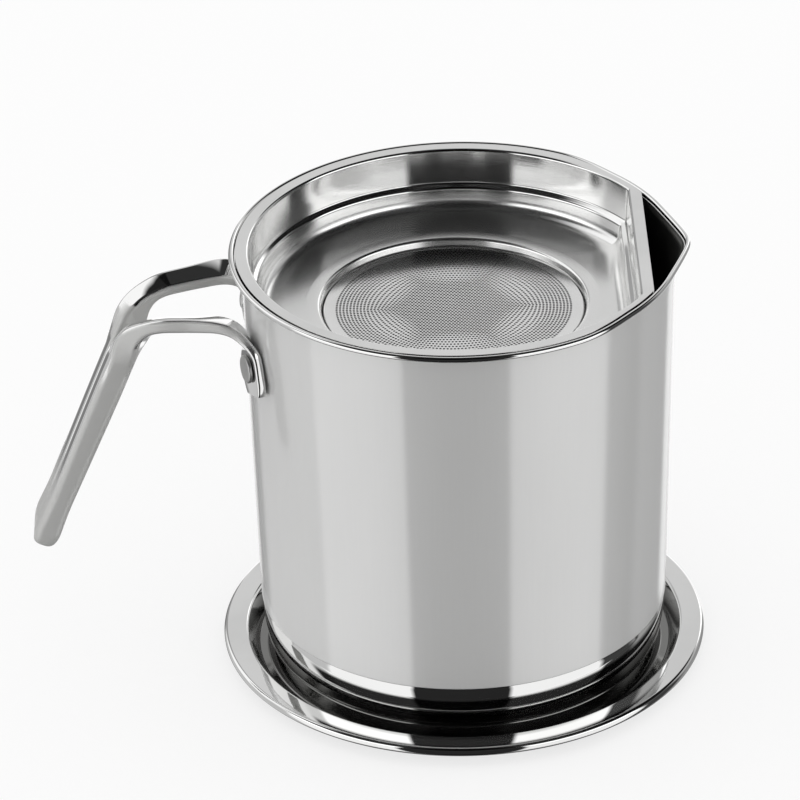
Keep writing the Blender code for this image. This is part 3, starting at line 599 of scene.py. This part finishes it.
def strainer_ring(reach, height, edge):
    """A circle of that reach cut by a chord with round corners, each point drawn in where the pot's
    ledge narrows. Inside the floor's edge the outline eases into the shoulder's own circle."""
    outline = max(reach, edge)
    inset = STRAINER_RADIUS - outline
    chord = STRAINER_RADIUS - CHORD_INSET - inset
    corner = max(CHORD_CORNER - inset, CHORD_CORNER * 0.3)
    corner_x = chord - corner
    corner_y = math.sqrt((outline - corner) ** 2 - corner_x ** 2)
    alpha = math.atan2(corner_y, corner_x)
    flat_y = np.linspace(-corner_y, corner_y, 40, endpoint=False)
    bend = np.linspace(0, alpha, 20, endpoint=False)
    arc = np.linspace(alpha, 2 * math.pi - alpha, 281)[:-1]
    x = np.concatenate([np.full(40, chord), corner_x + corner * np.cos(bend), outline * np.cos(arc),
                        corner_x + corner * np.cos(bend - alpha)])
    y = np.concatenate([flat_y, corner_y + corner * np.sin(bend), outline * np.sin(arc),
                        corner * np.sin(bend - alpha) - corner_y])
    angle, radius = np.arctan2(y, x), np.hypot(x, y)
    on_flange = np.clip(1 - inset / FLANGE_WIDTH, 0, 1)
    radius = np.minimum(radius, outline - rim_inset(np.abs(angle)) * on_flange)
    weight = ease((reach - SHOULDER_RADIUS) / (edge - SHOULDER_RADIUS))
    radius = radius * weight + reach * (1 - weight)
    shift = FLOOR_SHIFT * (1 - weight)
    return np.stack([radius * np.cos(angle) - shift, radius * np.sin(angle), np.full(len(x), height)], 1)


def moved_aside(profile, thickness):
    """The profile moved square to itself, to the side that faces down and out."""
    run = unit(np.gradient(profile, axis=0))
    return profile + np.stack([run[:, 1], -run[:, 0]], 1) * thickness


flange_inner = STRAINER_RADIUS - FLANGE_WIDTH
lower_wall = flange_inner - WALL_DRAFT - STEP_WIDTH * 0.8
floor_edge = lower_wall - LOWER_DRAFT - BASIN_FILLET
step_z = RIM_Z - UPPER_WALL_DEPTH
ledge_z = FLOOR_Z - SHOULDER_DROP - SEAT_GAP
ledge_outer = SHOULDER_RADIUS - SHOULDER_WIDTH
basin = rounded([
    (LEDGE_INNER, ledge_z, 0),
    (ledge_outer, ledge_z, 0.5 * MM),
    (ledge_outer + 1.0 * MM, FLOOR_Z - 0.3 * MM, 1.3 * MM),
    (SHOULDER_RADIUS + 1.0 * MM, FLOOR_Z, 4.0 * MM),
    (lower_wall - LOWER_DRAFT, FLOOR_Z, BASIN_FILLET),
    (lower_wall, step_z - STEP_DROP * 0.4, 1.2 * MM),
    (flange_inner - WALL_DRAFT, step_z + STEP_DROP * 0.1, 0.9 * MM),
    (flange_inner, RIM_Z, 1.0 * MM),
    (STRAINER_RADIUS, RIM_Z, 0)], 9)
under = moved_aside(basin, SHEET)
shell_rings = [strainer_ring(reach, height, floor_edge)
               for reach, height in np.concatenate([basin, under[::-1]])]
shell_finish = polished("strainer_mirror", STRAINER_COLOUR, 0.06, 0.012 * MM, marked_rough=0.13,
                        lathe=0.004 * MM)
shell_marks = np.concatenate([np.full(len(ring), float(ring[0, 2] < step_z - STEP_DROP))
                              for ring in shell_rings])
shell = skin("strainer_basin", shell_rings, shell_finish, closed=True, marks=shell_marks)
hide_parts("strainer_shell")
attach(shell, "strainer")

# Strainer disc: a thin round plate with a plain margin, punched with rings of fine round holes a
# millimetre apart, each ring with six more holes than the one inside it. It lies on the ledge.
DISC_Z = FLOOR_Z - SHOULDER_DROP
HOLE_PITCH = 1.08 * MM
HOLE_RADIUS = 0.43 * MM
HOLE_RINGS = 34
GRID_RINGS = (17, 27)
DISC_COLOUR = (0.8, 0.8, 0.795)


def ringed(points):
    """Turn hexagonal rings into round ones: a point's ring number is its hexagonal distance from the
    middle, and its share of the way round the hexagon's side is kept as a share of 60 degrees. Points
    near the middle stay on the plain lattice, and the two ways blend over some rings between."""
    angle = np.arctan2(points[..., 1], points[..., 0])
    sector = np.floor(angle / (math.pi / 3))
    inner = angle - sector * math.pi / 3
    size = np.hypot(points[..., 0], points[..., 1])
    ring = size * (np.sin(math.pi / 3 - inner) + np.sin(inner)) / math.sin(math.pi / 3)
    share = np.sin(inner) / np.maximum(np.sin(math.pi / 3 - inner) + np.sin(inner), 1e-9)
    turn = (sector + share) * math.pi / 3
    rounded_place = np.stack([ring * np.cos(turn), ring * np.sin(turn)], -1)
    weight = ease((ring - GRID_RINGS[0]) / (GRID_RINGS[1] - GRID_RINGS[0]))[..., None]
    return points * (1 - weight) + rounded_place * weight


def punched_plate():
    """Hexagonal cells on a triangular lattice, warped into round rings. Each cell's face runs from its
    six corners to the six corners of its hole, whose walls join the two faces."""
    row, column = np.meshgrid(np.arange(-HOLE_RINGS, HOLE_RINGS + 1), np.arange(-HOLE_RINGS, HOLE_RINGS + 1))
    inside = np.abs(row + column) <= HOLE_RINGS
    row, column = row[inside], column[inside]
    middle = np.stack([row + column / 2, column * math.sqrt(3) / 2], 1)
    sixth = np.radians(np.arange(6) * 60 + 30)
    corner = middle[:, None] + np.stack([np.cos(sixth), np.sin(sixth)], 1) / math.sqrt(3)
    corner = np.round(corner, 5)
    shared, which = np.unique(corner.reshape(-1, 2), axis=0, return_inverse=True)
    which = which.reshape(-1, 6)
    shared = ringed(shared) * HOLE_PITCH
    centre = ringed(middle) * HOLE_PITCH
    toward = np.arctan2(*np.moveaxis(shared[which] - centre[:, None], -1, 0)[::-1])
    hole = centre[:, None] + np.stack([np.cos(toward), np.sin(toward)], -1) * HOLE_RADIUS
    return shared, which, hole


def rim_order(which, shared):
    """The corners that belong to fewer than three cells, in order of their angle round the plate."""
    used = np.bincount(which.ravel(), minlength=len(shared))
    loose = np.flatnonzero(used < 3)
    return loose[np.argsort(np.arctan2(shared[loose, 1], shared[loose, 0]))]


shared, which, hole = punched_plate()
rim = rim_order(which, shared)
margin_angle = np.arctan2(shared[rim, 1], shared[rim, 0])
margin = [np.stack([reach * np.cos(margin_angle), reach * np.sin(margin_angle)], 1)
          for reach in (DISC_RADIUS - 0.15 * MM, DISC_RADIUS)]
plain = np.concatenate([shared, hole.reshape(-1, 2)])
count = len(plain)
top = np.concatenate([plain, margin[0]])
sides = np.arange(6)
after = (sides + 1) % 6
hole_at = len(shared) + np.arange(len(hole))[:, None] * 6
step = np.arange(len(rim))
following = (step + 1) % len(rim)
face_top = np.concatenate([
    np.stack([which[:, sides], which[:, after], hole_at + after, hole_at + sides], -1).reshape(-1, 4),
    np.stack([rim[step], count + step, count + following, rim[following]], -1)])
layer = len(top)
walls = np.concatenate([
    np.stack([hole_at + sides, hole_at + after, layer + hole_at + after, layer + hole_at + sides],
             -1).reshape(-1, 4),
    np.stack([count + step, 2 * layer + step, 2 * layer + following, count + following], -1),
    np.stack([2 * layer + step, 2 * layer + len(rim) + step, 2 * layer + len(rim) + following,
              2 * layer + following], -1),
    np.stack([2 * layer + len(rim) + step, layer + count + step, layer + count + following,
              2 * layer + len(rim) + following], -1)])
levels = [(top, SHEET), (top, 0), (margin[1], SHEET - 0.12 * MM), (margin[1], 0.12 * MM)]
points = np.concatenate([
    np.column_stack([flat[:, 0] - FLOOR_SHIFT, flat[:, 1], np.full(len(flat), DISC_Z + rise)])
    for flat, rise in levels])
plate = bpy.data.meshes.new("strainer_plate")
plate.from_pydata(points, [], np.concatenate([face_top, layer + face_top[:, ::-1], walls]).tolist())
turn_out = bmesh.new()
turn_out.from_mesh(plate)
bmesh.ops.recalc_face_normals(turn_out, faces=turn_out.faces)
turn_out.to_mesh(plate)
turn_out.free()
plate.materials.append(polished("disc_polished", DISC_COLOUR, 0.08, 0.01 * MM))
disc = bpy.data.objects.new("strainer_plate", plate)
bpy.context.scene.collection.objects.link(disc)
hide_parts("strainer_disc")
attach(disc, "strainer")

# Studio: a pale floor that runs on as a white sweep behind, a tall white softbox on either side of
# the camera, and a dark room between and to the right of them, which polished steel mirrors.
FLOOR_SIZE = 8.0
FLOOR_COLOUR = (0.93, 0.93, 0.93)
FLOOR_GLOW = 0.72
ROOM_GAIN = 1.2
ROOM_BEARINGS = ((-180, 1.0), (-166, 1.0), (-163, 0.2), (-150, 0.2), (-146, 0.55), (-89, 0.55), (-86, 1.0),
                 (-33.5, 1.0), (-31, 0.02), (24, 0.02), (26.5, 1.0), (83, 1.0), (87, 0.05), (108, 0.05),
                 (116, 0.3), (146, 0.3), (151, 1.0), (180, 1.0))
FRONT_HEIGHTS = ((-90, 0.1), (-58, 0.2), (-46, 1.0), (14, 1.0), (18, 1.6), (30, 1.6), (35, 0.03), (90, 0.03))
LEFT_HEIGHTS = ((-90, 0.1), (-58, 0.2), (-46, 1.0), (5, 1.0), (10, 1.9), (56, 1.9), (63, 0.03), (90, 0.03))
BACK_HEIGHTS = ((-90, 0.1), (-40, 0.3), (-24, 1.1), (4, 1.1), (18, 0.66), (48, 0.66), (60, 0.03), (90, 0.03))

floor_finish = bpy.data.materials.new("studio_floor")
floor_finish.use_nodes = True
floor_shader = floor_finish.node_tree.nodes["Principled BSDF"]
floor_shader.inputs["Base Color"].default_value = (*FLOOR_COLOUR, 1)
floor_shader.inputs["Roughness"].default_value = 0.9
flow = Flow(floor_finish.node_tree)
seen = flow.node("ShaderNodeLightPath", output="Is Camera Ray")
glow = flow.node("ShaderNodeEmission", {}, {"Color": (1, 1, 1, 1), "Strength": 1.0})
surface = Flow(flow.tree, floor_shader.outputs[0])
both = flow.node("ShaderNodeMixShader", {}, {0: seen * FLOOR_GLOW, 1: surface, 2: glow})
floor_finish.node_tree.links.new(both.socket, floor_finish.node_tree.nodes["Material Output"].inputs[0])
floor_data = bpy.data.meshes.new("studio_floor")
reach = FLOOR_SIZE / 2
floor_corners = [(-reach, -reach, 0), (reach, -reach, 0), (reach, reach, 0), (-reach, reach, 0)]
floor_data.from_pydata(floor_corners, [], [(0, 1, 2, 3)])
floor_data.materials.append(floor_finish)
floor = bpy.data.objects.new("studio_floor", floor_data)
floor.visible_glossy = False
bpy.context.scene.collection.objects.link(floor)

room = bpy.data.worlds.new("studio_room")
room.use_nodes = True
bpy.context.scene.world = room
flow = Flow(room.node_tree)
direction = flow.node("ShaderNodeTexCoord", output="Generated")
east, north, height = (flow.node("ShaderNodeSeparateXYZ", {}, {0: direction}, axis) for axis in range(3))
bearing = flow.math("ARCTAN2", east, 0.0 - north) * (0.5 / math.pi) + 0.5
rise = flow.math("ARCSINE", height) * (1 / math.pi) + 0.5


def levels(place, steps, turn):
    """Brightness read off a list of angles and levels, over a whole turn or half of one."""
    most = max(level for _, level in steps)
    stops = [(angle / turn + 0.5, (level / most,) * 3 + (1,)) for angle, level in steps]
    return flow.node("ShaderNodeValToRGB", {"stops": stops}, {"Fac": place}) * most


behind = flow.math("ABSOLUTE", bearing - 0.5).ramp(0.44, 0.46)
left = bearing.ramp(0.21, 0.23, 1.0, 0.0)
ahead_part = levels(rise, FRONT_HEIGHTS, 180) * (1.0 - left) + levels(rise, LEFT_HEIGHTS, 180) * left
heights = ahead_part * (1.0 - behind) + levels(rise, BACK_HEIGHTS, 180) * behind
mirrored = levels(bearing, ROOM_BEARINGS, 360) * heights * ROOM_GAIN
camera_ray, glossy_ray, transmission_ray = (
    flow.node("ShaderNodeLightPath", output=name)
    for name in ("Is Camera Ray", "Is Glossy Ray", "Is Transmission Ray"))
mirror_ray = flow.math("MAXIMUM", glossy_ray, transmission_ray)
level = mirror_ray * mirrored + (1.0 - mirror_ray)
backdrop = room.node_tree.nodes["Background"]
backdrop.inputs["Color"].default_value = (1, 1, 1, 1)
room.node_tree.links.new(level.socket, backdrop.inputs["Strength"])

# Camera: a long lens from the front and above, level with the photograph's view.
CAMERA_BACK = 1651.54 * MM
CAMERA_HEIGHT = RIM_Z + 891.40 * MM
CAMERA_LENS = 36 * 6024.38 / 800
YAW, PITCH, ROLL, OBJECT_TURN = (math.radians(a) for a in (-0.66, 29.81, -1.33, 1.5))
ahead = np.array([math.sin(YAW) * math.cos(PITCH), math.cos(YAW) * math.cos(PITCH), -math.sin(PITCH)])
right_hand = np.array([math.cos(YAW), -math.sin(YAW), 0])
upward = np.cross(right_hand, ahead)
axes = np.stack([right_hand * math.cos(ROLL) + upward * math.sin(ROLL),
                 upward * math.cos(ROLL) - right_hand * math.sin(ROLL), -ahead], 1)
camera_data = bpy.data.cameras.new("camera")
camera_data.lens = CAMERA_LENS
camera_data.sensor_width = 36
camera_data.clip_end = 50
camera = bpy.data.objects.new("camera", camera_data)
bpy.context.scene.collection.objects.link(camera)
stand = Matrix.Translation((0, -CAMERA_BACK, CAMERA_HEIGHT)) @ Matrix(axes.tolist()).to_4x4()
camera.matrix_world = Matrix.Rotation(-OBJECT_TURN, 4, "Z") @ stand
bpy.context.scene.camera = camera
bpy.context.scene.view_settings.view_transform = "Standard"
